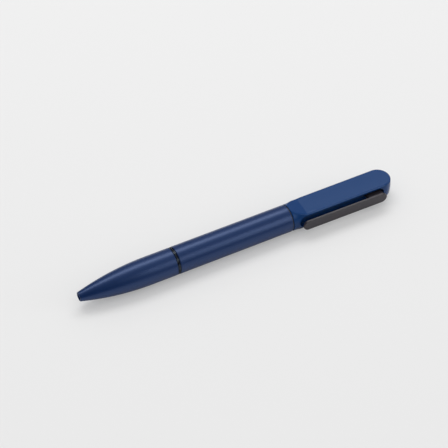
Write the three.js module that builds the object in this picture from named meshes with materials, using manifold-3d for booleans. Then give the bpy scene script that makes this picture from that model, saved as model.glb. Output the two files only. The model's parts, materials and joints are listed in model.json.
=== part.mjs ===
// A twist-action ballpoint pen with a flat-sided upper section and a side clip.
// Millimetres. The pen lies along X, its writing end towards -X, the clip on its -Y side, +Z up.
// It rests on its barrel, and the origin is under the middle of its bounding box.
import * as THREE from "three";
import { mergeVertices } from "three/addons/utils/BufferGeometryUtils.js";
import Module from "manifold-3d";

const wasm = await Module();
wasm.setup();

// Outside of the pen
const barrelRadius = 5.6;
const noseLength = 39.7;
const noseTaperLength = 29.2;
const tipRadius = 1.85;
const tipChamfer = 0.18;
const ringWidth = 1.0;
const ringGroove = 0.1;
const ringInset = 0.06;
const barrelLength = 49.7;
const seamGap = 0.4;
const edgeChamfer = 0.15;
const upperLength = 47.2;

// Upper section: a round collar that scoops down to two flats
const slabHalfWidth = 5.11;
const slabHalfThickness = 3.56;
const collarLip = 0.03;
const scoopLength = 6.3;
const scoopHollow = 0.15;
const sectionBlendLength = 9.2;
const pocketStart = 2.75;
const pocketLength = 38.95;
const pocketHalfHeight = 2.57;
const pocketDepth = 2.0;

// Clip
const clipTipClearance = 0.45;
const clipEndClearance = 0.2;
const clipSideClearance = 0.25;
const clipThickness = 0.8;
const clipReachFront = 7.75;
const clipReachRear = 8.1;
const clipSplitGap = 0.2;
const clipPadSetback = 0.85;
const clipPadLength = 3.4;
const clipPadHeight = 1.1;
const clipPadHalfWidth = 1.5;
const footLength = 7.8;
const footHalfHeight = 1.1;
const pegRadius = 0.6;
const pegLength = 1.2;
const pegInset = 2.0;

// Walls, fits and clearances
const noseWall = 0.8;
const barrelWall = 1.0;
const pressClearance = 0.04;
const seatClearance = 0.05;
const runningClearance = 0.1;
const endClearance = 0.3;

// Writing action
const retractDepth = 1.5;
const refillTravel = 5.0;
const twistAngle = Math.PI;

// Refill: its length is what reaches from the tip to the twist mechanism
const refillRadius = 1.5;
const refillWall = 0.35;
const refillNeckRadius = 1.15;
const refillNeckLength = 8.0;
const refillHolderSpigot = 3.5;
const pointLength = 4.0;
const pointShankRadius = 0.45;
const pointShankLength = 3.0;
const pointFrontRadius = 0.48;
const pointRearRadius = 0.85;
const ballRadius = 0.35;
const ballReach = 0.2;
const ballClearance = 0.02;
const plugLength = 3.0;
const plugVentRadius = 0.4;
const collarStart = 24.5;
const refillCollarLength = 2.0;
const refillCollarRadius = 2.15;

// Return spring round the front of the refill
const springWireRadius = 0.2;
const springRadius = 1.8;
const springTurns = 14;
const springStepsPerTurn = 8;
const springSides = 5;
const tipBoreLength = 4.6;

// Threaded joint between the nose and the barrel
const threadRadius = 3.7;
const threadLength = 8.6;
const insertSeatLength = 8.6;
const insertBoreRadius = 2.9;
const insertChamfer = 0.3;
const threadBushLength = 10.0;

// Twist mechanism
const plungerRadius = 2.2;
const plungerGrip = 8.0;
const plungerTail = 5.5;
const pinFromFloor = 3.0;
const pinSetback = 4.06;
const guidePinRadius = 0.5;
const slotClearance = 0.12;
const camWall = 0.6;
const camFrontLength = 7.5;
const camShoulder = 0.8;
const stemRadius = 1.9;
const stemLength = 14.8;
const housingWall = 0.6;
const housingFrontLength = 12.0;
const housingFlange = 0.8;
const housingReach = 1.1;
const pinEndInset = 0.15;
const mechanismBushLength = 10.3;
const bushRecess = 0.3;
const washerThickness = 0.3;
const washerInset = 0.35;
const oRingRadius = 0.25;
const ringClipThickness = 0.4;
const ringClipDepth = 0.2;
const ringClipWidth = 0.75;
const ringClipOpening = 0.9;
const couplingLength = 13.0;
const couplingWall = 0.55;
const stepBoreRadius = 3.0;
const stepBoreLength = 1.0;
const counterboreDepth = 1.2;
const shellBoreLength = 31.0;
const drillPoint = 0.8;

// Facets round each kind of piece, in multiples of four
const outerFacets = 48;
const innerFacets = 32;
const smallFacets = 16;

// Places along the pen, measured from the face of the tip
const ringStart = noseLength + ringGroove;
const barrelStart = ringStart + ringWidth + ringGroove;
const barrelEnd = barrelStart + barrelLength;
const upperStart = barrelEnd + seamGap;
const penLength = upperStart + upperLength;
const pinPlace = barrelEnd - pinSetback;
const refillEnd = pinPlace - pinFromFloor - pressClearance;
const refillLength = refillEnd - retractDepth;
const plungerStart = refillEnd + pressClearance - plungerGrip;
const housingEnd = upperStart + housingReach;
const camTubeEnd = housingEnd - housingFlange - runningClearance;

// Radii that follow from the walls and clearances
const noseBoreRadius = barrelRadius - noseWall;
const barrelBoreRadius = barrelRadius - barrelWall;
const tipBoreRadius = refillNeckRadius + runningClearance;
const camBoreRadius = plungerRadius + runningClearance;
const camRadius = camBoreRadius + camWall;
const housingBoreRadius = camRadius + runningClearance;
const housingRadius = housingBoreRadius + housingWall;
const couplingRadius = stemRadius + seatClearance + couplingWall;
const counterboreRadius = housingRadius + 2 * (oRingRadius + seatClearance);
const stemGrooveRadius = stemRadius - ringClipDepth;

function material(color, roughness, metalness) {
  return new THREE.MeshStandardMaterial({ color, roughness, metalness, flatShading: true });
}

const satinBlue = () => material(0x33507f, 0.38, 0.75);
const matteBlue = () => material(0x334e7b, 0.55, 0.25);
const satinBlack = () => material(0x3a3a40, 0.45, 0.35);
const glossBlack = () => material(0x16181c, 0.15, 0.3);
const brass = () => material(0xb8924a, 0.35, 0.9);
const steel = () => material(0xa9abae, 0.3, 0.95);
const whitePlastic = () => material(0xd8d6cf, 0.5, 0);
const blackPlastic = () => material(0x1c1c1e, 0.6, 0);
const rubber = () => material(0x141415, 0.85, 0);

// A closed geometry as a solid that can be joined and cut
function toSolid(geometry) {
  const bare = geometry.index ? geometry.toNonIndexed() : geometry.clone();
  bare.deleteAttribute("normal");
  bare.deleteAttribute("uv");
  const merged = mergeVertices(bare, 1e-4);
  const corners = merged.index.array;
  const kept = [];
  for (let i = 0; i < corners.length; i += 3) {
    const [a, b, c] = [corners[i], corners[i + 1], corners[i + 2]];
    if (a !== b && b !== c && c !== a) kept.push(a, b, c);
  }
  const vertProperties = merged.attributes.position.array;
  const triVerts = new Uint32Array(kept);
  return new wasm.Manifold(new wasm.Mesh({ numProp: 3, vertProperties, triVerts }));
}

function toGeometry(solid) {
  const mesh = solid.getMesh();
  const count = mesh.numProp;
  const positions = new Float32Array(mesh.numVert * 3);
  for (let i = 0; i < mesh.numVert; i++) {
    positions.set(mesh.vertProperties.subarray(i * count, i * count + 3), i * 3);
  }
  const geometry = new THREE.BufferGeometry();
  geometry.setAttribute("position", new THREE.BufferAttribute(positions, 3));
  geometry.setIndex(new THREE.BufferAttribute(mesh.triVerts, 1));
  geometry.computeVertexNormals();
  return geometry;
}

// The area inside a closed outline, positive when it runs anticlockwise
function signedArea(points) {
  return points.reduce((sum, [x, y], i) => {
    const [nextX, nextY] = points[(i + 1) % points.length];
    return sum + (x * nextY - nextX * y) / 2;
  }, 0);
}

// Turns a closed outline of [distance along the pen, radius] points round the X axis
function turned(outline, facets) {
  const forward = signedArea(outline) > 0 ? [...outline].reverse() : outline;
  const points = [...forward, forward[0]].map(([along, radius]) => new THREE.Vector2(radius, along));
  const geometry = new THREE.LatheGeometry(points, facets);
  geometry.rotateZ(-Math.PI / 2);
  return geometry;
}

// A plain tube or disc along X, from 0 to its length, with equal chamfers outside
function sleeve(length, outer, inner, facets, chamfer = 0) {
  const outline = [
    [0, inner],
    [0, outer - chamfer],
    [chamfer, outer],
    [length - chamfer, outer],
    [length, outer - chamfer],
    [length, inner],
  ];
  const plain = chamfer > 0 ? outline : [outline[0], outline[2], outline[3], outline[5]];
  return turned(plain, facets);
}

// A round pin or hole along Y or Z, centred on the origin
function crossPin(radius, length, axis) {
  const geometry = new THREE.CylinderGeometry(radius, radius, length, smallFacets);
  if (axis === "z") geometry.rotateX(Math.PI / 2);
  return geometry;
}

// A stadium outline in the X-Z plane, raised along -Y from one distance off the axis to another
function stadium(start, length, halfHeight, near, far) {
  const shape = new THREE.Shape();
  const rear = start + length - halfHeight;
  shape.absarc(start + halfHeight, 0, halfHeight, Math.PI / 2, (3 * Math.PI) / 2, false);
  shape.absarc(rear, 0, halfHeight, -Math.PI / 2, Math.PI / 2, false);
  const geometry = new THREE.ExtrudeGeometry(shape, {
    depth: far - near,
    bevelEnabled: false,
    curveSegments: 10,
  });
  geometry.rotateX(Math.PI / 2);
  geometry.translate(0, -near, 0);
  return geometry;
}

// An outline of [x, distance from the axis on the -Y side] points, raised along Z both ways
function sidePlate(outline, halfHeight) {
  const points = outline.map(([x, reach]) => new THREE.Vector2(x, -reach));
  const geometry = new THREE.ExtrudeGeometry(new THREE.Shape(points), {
    depth: 2 * halfHeight,
    bevelEnabled: false,
  });
  geometry.translate(0, 0, -halfHeight);
  return geometry;
}

// A box between two corners
function block(low, high) {
  const size = high.map((value, i) => value - low[i]);
  const geometry = new THREE.BoxGeometry(...size);
  geometry.translate(...low.map((value, i) => value + size[i] / 2));
  return geometry;
}

// Joins rings of equal point counts into one closed skin that faces out
function loft(rings) {
  const count = rings[0].length;
  const positions = rings.flat(2);
  const index = [];
  for (let i = 0; i < rings.length - 1; i++) {
    for (let j = 0; j < count; j++) {
      const a = i * count + j;
      const b = i * count + ((j + 1) % count);
      index.push(a, b, a + count, b, b + count, a + count);
    }
  }
  const last = (rings.length - 1) * count;
  for (let j = 1; j < count - 1; j++) {
    index.push(0, j + 1, j);
    index.push(last, last + j, last + j + 1);
  }
  const geometry = new THREE.BufferGeometry();
  geometry.setAttribute("position", new THREE.Float32BufferAttribute(positions, 3));
  geometry.setIndex(signedVolume(positions, index) < 0 ? index.reverse() : index);
  return geometry;
}

function signedVolume(positions, index) {
  const corner = (i) => new THREE.Vector3().fromArray(positions, 3 * index[i]);
  let volume = 0;
  for (let i = 0; i < index.length; i += 3) {
    volume += corner(i).dot(corner(i + 1).cross(corner(i + 2))) / 6;
  }
  return volume;
}

// Outer radius of the nose at a distance from its tip: an arc that runs into the straight barrel
const noseDrop = barrelRadius - tipRadius;
const noseArcRadius = (noseTaperLength ** 2 + noseDrop ** 2) / (2 * noseDrop);
function noseRadiusAt(along) {
  const left = Math.max(noseTaperLength - along, 0);
  return barrelRadius - noseArcRadius + Math.sqrt(noseArcRadius ** 2 - left ** 2);
}

function noseShell() {
  const outerSteps = 14;
  const innerSteps = 8;
  const outline = [
    [0, tipBoreRadius],
    [0, tipRadius - tipChamfer],
  ];
  for (let i = 0; i <= outerSteps; i++) {
    const along = tipChamfer + ((noseTaperLength - tipChamfer) * i) / outerSteps;
    outline.push([along, noseRadiusAt(along)]);
  }
  outline.push([noseLength - edgeChamfer, barrelRadius]);
  outline.push([noseLength, barrelRadius - edgeChamfer]);
  outline.push([noseLength, noseBoreRadius]);
  for (let i = innerSteps; i >= 0; i--) {
    const along = tipBoreLength + ((noseTaperLength - tipBoreLength) * i) / innerSteps;
    outline.push([along, noseRadiusAt(along) - noseWall]);
  }
  outline.push([tipBoreLength, tipBoreRadius]);
  return turned(outline, outerFacets);
}

// Brass insert: a seat inside the nose and a male thread that enters the barrel's bush
function noseThreadInsert() {
  const seat = noseBoreRadius - pressClearance;
  const whole = insertSeatLength + threadLength + ringWidth + 2 * ringGroove;
  return turned(
    [
      [0, insertBoreRadius],
      [0, seat - insertChamfer],
      [insertChamfer, seat],
      [insertSeatLength, seat],
      [insertSeatLength, threadRadius],
      [whole - insertChamfer, threadRadius],
      [whole, threadRadius - insertChamfer],
      [whole, insertBoreRadius],
    ],
    innerFacets,
  );
}

// A tube along a helix, one unbroken skin with closed ends
function returnSpring(length) {
  const steps = springTurns * springStepsPerTurn;
  const climb = length / steps;
  const centres = [];
  for (let i = 0; i <= steps; i++) {
    const angle = (2 * Math.PI * i) / springStepsPerTurn;
    centres.push([i * climb, angle]);
  }
  const slope = Math.atan2(length, 2 * Math.PI * springRadius * springTurns);
  const rings = centres.map(([along, angle]) => {
    const ring = [];
    for (let j = 0; j < springSides; j++) {
      const turn = (2 * Math.PI * j) / springSides;
      const out = springRadius + springWireRadius * Math.cos(turn);
      const side = springWireRadius * Math.sin(turn);
      const x = along + side * Math.cos(slope);
      const back = angle - (side * Math.sin(slope)) / springRadius;
      ring.push([x, out * Math.cos(back), out * Math.sin(back)]);
    }
    return ring;
  });
  const gap = leastTurnGap(rings);
  console.log("return spring, least gap between turns " + gap.toFixed(2) + " mm");
  return loft(rings);
}

// The least distance between surface points that are at least three quarters of a turn apart
function leastTurnGap(rings) {
  const apart = Math.round(springStepsPerTurn * 0.75);
  let least = Infinity;
  for (let i = 0; i < rings.length; i++) {
    for (let k = i + apart; k < Math.min(rings.length, i + 2 * springStepsPerTurn); k++) {
      for (const p of rings[i]) {
        for (const q of rings[k]) {
          least = Math.min(least, Math.hypot(p[0] - q[0], p[1] - q[1], p[2] - q[2]));
        }
      }
    }
  }
  return least;
}

// Refill pieces, each from 0 along X
function refillHolder() {
  const channel = pointShankRadius + pressClearance;
  const spigot = refillRadius - refillWall - pressClearance;
  return turned(
    [
      [0, channel],
      [0, pointRearRadius + pressClearance],
      [refillNeckRadius - pointRearRadius, refillNeckRadius],
      [refillNeckLength, refillNeckRadius],
      [refillNeckLength, spigot],
      [refillNeckLength + refillHolderSpigot, spigot],
      [refillNeckLength + refillHolderSpigot, channel],
    ],
    smallFacets,
  );
}

function refillPoint() {
  const socket = ballRadius + ballClearance;
  const socketDepth = 2 * ballRadius - ballReach + ballClearance;
  const front = ballReach;
  return turned(
    [
      [front, socket],
      [front, pointFrontRadius],
      [pointLength, pointRearRadius],
      [pointLength, pointShankRadius],
      [pointLength + pointShankLength, pointShankRadius],
      [pointLength + pointShankLength, 0],
      [front + socketDepth, 0],
      [front + socketDepth, socket],
    ],
    smallFacets,
  );
}

function drivePlunger() {
  const grip = refillRadius + seatClearance;
  const body = toSolid(
    turned(
      [
        [0, grip],
        [0, plungerRadius],
        [plungerGrip + plungerTail, plungerRadius],
        [plungerGrip + plungerTail, 0],
        [plungerGrip, 0],
        [plungerGrip, grip],
      ],
      innerFacets,
    ),
  );
  const hole = toSolid(crossPin(guidePinRadius + pressClearance, 3 * plungerRadius, "z"));
  return toGeometry(body.subtract(hole.translate([plungerGrip + pinFromFloor, 0, 0])));
}

// A cutter that follows the pin's path round a sleeve while the sleeve turns
function camSlot(startAngle) {
  const steps = 24;
  const half = guidePinRadius + slotClearance;
  const near = camBoreRadius - camWall;
  const far = camRadius + camWall;
  const middle = (camBoreRadius + camRadius) / 2;
  const run = middle * twistAngle;
  const slope = Math.atan2(refillTravel, run);
  const overrun = (half + slotClearance) / Math.hypot(refillTravel, run);
  const rings = [];
  for (let i = 0; i <= steps; i++) {
    const part = -overrun + ((1 + 2 * overrun) * i) / steps;
    const along = -refillTravel * part;
    const angle = startAngle + twistAngle * part;
    const corner = (side, radius) => {
      const x = along + side * half * Math.cos(slope);
      const turn = angle + (side * half * Math.sin(slope)) / middle;
      return [x, -radius * Math.sin(turn), radius * Math.cos(turn)];
    };
    rings.push([corner(-1, near), corner(-1, far), corner(1, far), corner(1, near)]);
  }
  return toSolid(loft(rings));
}

// The turning sleeve: a tube with two helical slots, closed by a shoulder that carries the stem
function camSleeve(tubeLength, pinAlong) {
  const grooveStart = tubeLength + runningClearance + housingFlange + seatClearance;
  const grooveEnd = grooveStart + ringClipThickness + 2 * seatClearance;
  const whole = tubeLength + stemLength;
  const body = toSolid(
    turned(
      [
        [0, camBoreRadius],
        [0, camRadius],
        [tubeLength, camRadius],
        [tubeLength, stemRadius],
        [grooveStart, stemRadius],
        [grooveStart, stemGrooveRadius],
        [grooveEnd, stemGrooveRadius],
        [grooveEnd, stemRadius],
        [whole - insertChamfer, stemRadius],
        [whole, stemRadius - insertChamfer],
        [whole, 0],
        [tubeLength - camShoulder, 0],
        [tubeLength - camShoulder, camBoreRadius],
      ],
      innerFacets,
    ),
  );
  const slots = [0, Math.PI].map((angle) => camSlot(angle).translate([pinAlong, 0, 0]));
  return toGeometry(slots.reduce((rest, slot) => rest.subtract(slot), body));
}

// The fixed tube round the sleeve, with a straight slot above and below for the pin
function mechanismHousing(length, pinAlong) {
  const body = toSolid(
    turned(
      [
        [0, housingBoreRadius],
        [0, housingRadius],
        [length, housingRadius],
        [length, stemRadius + runningClearance],
        [length - housingFlange, stemRadius + runningClearance],
        [length - housingFlange, housingBoreRadius],
      ],
      innerFacets,
    ),
  );
  const half = guidePinRadius + slotClearance;
  const slot = block(
    [pinAlong - refillTravel - half, -half, -2 * housingRadius],
    [pinAlong + half, half, 2 * housingRadius],
  );
  return toGeometry(body.subtract(toSolid(slot)));
}

// An open ring that snaps into the groove of the stem
function retainingRing() {
  const inner = stemGrooveRadius + pressClearance;
  const ring = toSolid(sleeve(ringClipThickness, inner + ringClipWidth, inner, innerFacets));
  const opening = block(
    [-ringClipThickness, -ringClipOpening / 2, 0],
    [2 * ringClipThickness, ringClipOpening / 2, 2 * stepBoreRadius],
  );
  return toGeometry(ring.subtract(toSolid(opening)));
}

function frictionORing() {
  const geometry = new THREE.TorusGeometry(
    housingRadius + seatClearance + oRingRadius,
    oRingRadius,
    8,
    outerFacets,
  );
  geometry.rotateY(Math.PI / 2);
  return geometry;
}

// Half the thickness of the upper section: a slightly hollow slope from the collar to a crease on the flat
const scoopDrop = barrelRadius - collarLip - slabHalfThickness;
function halfThicknessAt(along) {
  const left = Math.max(1 - along / scoopLength, 0);
  return slabHalfThickness + scoopDrop * left - 4 * scoopHollow * left * (1 - left);
}

// Half the width of the upper section at one height: a circle that eases into a flat side
function halfWidthAt(along, height) {
  const part = Math.min(along / sectionBlendLength, 1);
  const eased = part * part * (3 - 2 * part);
  const round = Math.sqrt(Math.max(barrelRadius ** 2 - height ** 2, 0));
  return round + (slabHalfWidth - round) * eased;
}

function upperRing(along) {
  const sideSteps = 8;
  const top = halfThicknessAt(along);
  const ring = [];
  for (const side of [1, -1]) {
    for (let i = 0; i <= sideSteps; i++) {
      const height = side * top * Math.cos((Math.PI * i) / sideSteps);
      ring.push([along, side * halfWidthAt(along, height), height]);
    }
  }
  return ring;
}

const pegPlaces = [pegInset, footLength - pegInset];
const pocketFloor = slabHalfWidth - pocketDepth;
const footStart = pocketStart + pocketLength - clipEndClearance - footLength;

function upperShell() {
  const blendSteps = 12;
  const stations = [scoopLength, upperLength];
  for (let i = 0; i <= blendSteps; i++) stations.push((sectionBlendLength * i) / blendSteps);
  const ordered = [...new Set(stations)].sort((a, b) => a - b);
  const body = toSolid(loft(ordered.map((along) => upperRing(along))));

  const plan = new THREE.Shape();
  const centre = upperLength - slabHalfWidth;
  const wide = 2 * barrelRadius;
  plan.moveTo(-wide, -wide);
  plan.lineTo(centre, -wide);
  plan.lineTo(centre, -slabHalfWidth);
  plan.absarc(centre, 0, slabHalfWidth, -Math.PI / 2, Math.PI / 2, false);
  plan.lineTo(centre, wide);
  plan.lineTo(-wide, wide);
  const outline = new THREE.ExtrudeGeometry(plan, {
    depth: 2 * wide,
    bevelEnabled: false,
    curveSegments: 20,
  });
  outline.translate(0, 0, -wide);

  const couplingBore = couplingRadius + pressClearance;
  const stepEnd = counterboreDepth + stepBoreLength;
  const bore = turned(
    [
      [-wide, 0],
      [-wide, counterboreRadius],
      [counterboreDepth, counterboreRadius],
      [counterboreDepth, stepBoreRadius],
      [stepEnd, stepBoreRadius],
      [stepEnd, couplingBore],
      [shellBoreLength, couplingBore],
      [shellBoreLength + drillPoint, 0],
    ],
    innerFacets,
  );
  const pocket = stadium(pocketStart, pocketLength, pocketHalfHeight, pocketFloor, wide);
  const whole = body.intersect(toSolid(outline)).subtract(toSolid(bore)).subtract(toSolid(pocket));
  const holeDepth = pegLength + endClearance;
  const holes = pegPlaces.map((place) => {
    const hole = crossPin(pegRadius + pressClearance, 2 * holeDepth, "y");
    hole.translate(footStart + place, -pocketFloor, 0);
    return toSolid(hole);
  });
  return toGeometry(holes.reduce((rest, hole) => rest.subtract(hole), whole));
}

// Distance of the clip's outer face from the axis: it leans in a little towards its free end
const clipStart = pocketStart + clipTipClearance;
const clipLength = pocketLength - clipTipClearance - clipEndClearance;
const clipHalfHeight = pocketHalfHeight - clipSideClearance;
function clipReachAt(along) {
  return clipReachFront + ((clipReachRear - clipReachFront) * (along - clipStart)) / clipLength;
}

// The clip's whole flat blade with its round ends
function clipBlade() {
  const end = clipStart + clipLength;
  const plate = sidePlate(
    [
      [clipStart, clipReachAt(clipStart)],
      [end, clipReachAt(end)],
      [end, clipReachAt(end) - clipThickness],
      [clipStart, clipReachAt(clipStart) - clipThickness],
    ],
    2 * clipHalfHeight,
  );
  const outline = stadium(clipStart, clipLength, clipHalfHeight, 0, 2 * clipReachRear);
  return toSolid(plate).intersect(toSolid(outline));
}

// The springing arm, with a rounded pad inside its free end
function clipArm() {
  const cut = footStart - clipSplitGap;
  const far = 2 * clipReachRear;
  const keep = block([0, -far, -far], [cut, far, far]);
  const padStart = clipStart + clipPadSetback;
  const padBase = clipReachAt(padStart) - clipThickness / 2;
  const sag = clipPadHeight + clipThickness / 2;
  const padSteps = 8;
  const outline = [];
  for (let i = 0; i <= padSteps; i++) {
    const turn = (Math.PI * i) / padSteps;
    const x = padStart + (clipPadLength * (1 - Math.cos(turn))) / 2;
    outline.push([x, padBase - sag * Math.sin(turn)]);
  }
  const pad = sidePlate(outline, clipPadHalfWidth);
  return toGeometry(clipBlade().intersect(toSolid(keep)).add(toSolid(pad)));
}

// The fixed end of the clip: the rest of the blade, its foot in the pocket and two pegs
function clipFoot() {
  const far = 2 * clipReachRear;
  const keep = block([footStart, -far, -far], [upperLength, far, far]);
  const overlap = clipThickness / 2;
  const top = clipReachRear - clipThickness + overlap;
  const floor = pocketFloor + pressClearance;
  const foot = stadium(footStart, footLength, footHalfHeight, floor, top);
  const pegs = pegPlaces.map((place) => {
    const peg = crossPin(pegRadius, pegLength + overlap, "y");
    peg.translate(footStart + place, -(floor + overlap) + (pegLength + overlap) / 2, 0);
    return toSolid(peg);
  });
  const blade = clipBlade().intersect(toSolid(keep));
  const footed = pegs.reduce((rest, peg) => rest.add(peg), blade.add(toSolid(foot)));
  return toGeometry(footed.intersect(toSolid(stadium(clipStart, clipLength, clipHalfHeight, 0, far))));
}

const pen = new THREE.Group();
pen.position.set(-penLength / 2, (clipReachRear - barrelRadius) / 2, barrelRadius);

// Adds one named piece at a distance along the pen
function add(name, geometry, finish, along) {
  const mesh = new THREE.Mesh(geometry, finish);
  mesh.name = name;
  mesh.position.x = along;
  pen.add(mesh);
}

// Barrel
const bushRadius = barrelBoreRadius - pressClearance;
const threadBore = threadRadius + seatClearance;
add(
  "barrel_tube",
  sleeve(barrelLength, barrelRadius, barrelBoreRadius, outerFacets, edgeChamfer),
  satinBlue(),
  barrelStart,
);
add(
  "front_thread_bush",
  sleeve(threadBushLength, bushRadius, threadBore, innerFacets),
  brass(),
  barrelStart + bushRecess,
);
add(
  "mechanism_bush",
  sleeve(mechanismBushLength, bushRadius, housingRadius + pressClearance, innerFacets),
  brass(),
  barrelEnd - bushRecess - mechanismBushLength,
);
const housingStart = pinPlace - refillTravel - housingFrontLength + plungerTail;
add(
  "mechanism_housing",
  mechanismHousing(housingEnd - housingStart, pinPlace - housingStart),
  brass(),
  housingStart,
);
add(
  "seam_washer",
  sleeve(washerThickness, barrelRadius - washerInset, counterboreRadius + seatClearance, outerFacets),
  blackPlastic(),
  barrelEnd + pressClearance,
);
add("friction_o_ring", frictionORing(), rubber(), upperStart + counterboreDepth / 2);

// Centre ring
add(
  "centre_ring",
  sleeve(ringWidth, barrelRadius - ringInset, threadRadius + runningClearance, outerFacets, ringGroove),
  glossBlack(),
  ringStart,
);

// Nose
add("nose_shell", noseShell(), satinBlue(), 0);
add("nose_thread_insert", noseThreadInsert(), brass(), noseLength - insertSeatLength);
const springStart = tipBoreLength + springWireRadius + seatClearance;
const springEnd = collarStart - springWireRadius - seatClearance;
add("return_spring", returnSpring(springEnd - springStart), steel(), springStart);

// Refill and what drives it
console.log("refill length " + refillLength.toFixed(2) + " mm");
const neckStart = retractDepth + pointLength;
const tubeStart = neckStart + refillNeckLength;
add("writing_ball", new THREE.SphereGeometry(ballRadius, 12, 8), steel(), retractDepth + ballRadius);
add("refill_point", refillPoint(), steel(), retractDepth);
add("refill_holder", refillHolder(), brass(), neckStart + pressClearance);
add(
  "refill_tube",
  sleeve(refillEnd - tubeStart - 2 * pressClearance, refillRadius, refillRadius - refillWall, smallFacets),
  steel(),
  tubeStart + 2 * pressClearance,
);
add(
  "refill_collar",
  sleeve(refillCollarLength, refillCollarRadius, refillRadius + pressClearance, innerFacets),
  brass(),
  collarStart,
);
add(
  "refill_end_plug",
  sleeve(plugLength, refillRadius - refillWall - pressClearance, plugVentRadius, smallFacets),
  whitePlastic(),
  refillEnd - plugLength,
);
add("drive_plunger", drivePlunger(), whitePlastic(), plungerStart);
const pinLength = 2 * (housingRadius - pinEndInset);
add("guide_pin", crossPin(guidePinRadius, pinLength, "z"), steel(), pinPlace);

// Upper section
const camStart = pinPlace - camFrontLength;
add("cam_sleeve", camSleeve(camTubeEnd - camStart, pinPlace - camStart), blackPlastic(), camStart);
add(
  "retaining_ring",
  retainingRing(),
  steel(),
  camTubeEnd + runningClearance + housingFlange + 2 * seatClearance,
);
add(
  "cap_coupling",
  sleeve(couplingLength, couplingRadius, stemRadius + seatClearance, innerFacets),
  brass(),
  upperStart + counterboreDepth + stepBoreLength,
);
add("upper_shell", upperShell(), matteBlue(), upperStart);
add("clip_foot", clipFoot(), satinBlack(), upperStart);
add("clip_arm", clipArm(), satinBlack(), upperStart);

export default pen;
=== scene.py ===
"""A twist-action ballpoint pen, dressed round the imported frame.

The pen lies along X with its writing end towards -X, its clip on the -Y side and +Z up. Distances along the
pen are measured from the face of the tip. Sizes are in metres, written as millimetres times MM.
"""

import json
import logging
import math
from collections.abc import Callable, Iterable, Sequence
from dataclasses import dataclass
from enum import Enum
from functools import cache
from typing import Any

import bmesh
import bpy
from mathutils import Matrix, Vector
from mathutils.geometry import delaunay_2d_cdt


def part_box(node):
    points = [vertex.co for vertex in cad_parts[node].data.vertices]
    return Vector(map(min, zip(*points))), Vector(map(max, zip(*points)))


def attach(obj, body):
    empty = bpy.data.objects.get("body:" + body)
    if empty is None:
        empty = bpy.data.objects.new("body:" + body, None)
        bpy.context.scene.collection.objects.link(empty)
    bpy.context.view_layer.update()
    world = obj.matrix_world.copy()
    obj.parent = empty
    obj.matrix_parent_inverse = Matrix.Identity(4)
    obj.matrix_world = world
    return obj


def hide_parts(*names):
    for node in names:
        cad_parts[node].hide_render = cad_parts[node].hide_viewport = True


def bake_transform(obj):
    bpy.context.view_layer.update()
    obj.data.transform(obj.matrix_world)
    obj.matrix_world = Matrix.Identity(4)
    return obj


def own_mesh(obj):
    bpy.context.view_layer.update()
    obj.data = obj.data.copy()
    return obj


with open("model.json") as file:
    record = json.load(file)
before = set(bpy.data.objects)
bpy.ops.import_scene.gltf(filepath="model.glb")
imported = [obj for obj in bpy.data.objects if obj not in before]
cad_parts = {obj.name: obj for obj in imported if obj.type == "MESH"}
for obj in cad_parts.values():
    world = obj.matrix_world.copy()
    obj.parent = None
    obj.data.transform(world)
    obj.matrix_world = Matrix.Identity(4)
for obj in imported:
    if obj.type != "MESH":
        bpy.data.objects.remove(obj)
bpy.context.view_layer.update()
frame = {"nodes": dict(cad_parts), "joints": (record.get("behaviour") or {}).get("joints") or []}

LOG = logging.getLogger("pen")
MM = 0.001
WELD = 1e-7
AROUND = 160
SMALL_AROUND = 64
IMAGE_SIDE = 448

Flat = tuple[float, float]
Triple = tuple[float, float, float]
Row = list[bmesh.types.BMVert]
Colour = tuple[float, float, float, float]


def colour(red: int, green: int, blue: int) -> Colour:
    """A screen colour as Blender's linear values.

    Args:
        red: Red, from 0 to 255.
        green: Green, from 0 to 255.
        blue: Blue, from 0 to 255.

    Returns:
        Linear red, green, blue and an alpha of 1.
    """
    parts = [value / 255 for value in (red, green, blue)]
    linear = [p / 12.92 if p <= 0.04045 else ((p + 0.055) / 1.055) ** 2.4 for p in parts]
    return (linear[0], linear[1], linear[2], 1.0)


class Wire:
    """A node's output that takes part in sums, so that shader maths reads as Python."""

    def __init__(self, graph: "Graph", socket: bpy.types.NodeSocket) -> None:
        """Keeps the graph that new Math nodes go into, and the output socket."""
        self.graph = graph
        self.socket = socket

    def __add__(self, other: "Wire | float") -> "Wire":
        """This value plus another."""
        return self.graph.maths("ADD", self, other)

    def __radd__(self, other: float) -> "Wire":
        """A number plus this value."""
        return self.graph.maths("ADD", other, self)

    def __rsub__(self, other: float) -> "Wire":
        """A number less this value."""
        return self.graph.maths("SUBTRACT", other, self)

    def __mul__(self, other: "Wire | float") -> "Wire":
        """This value times another."""
        return self.graph.maths("MULTIPLY", self, other)

    def __rmul__(self, other: float) -> "Wire":
        """A number times this value."""
        return self.graph.maths("MULTIPLY", other, self)


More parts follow.
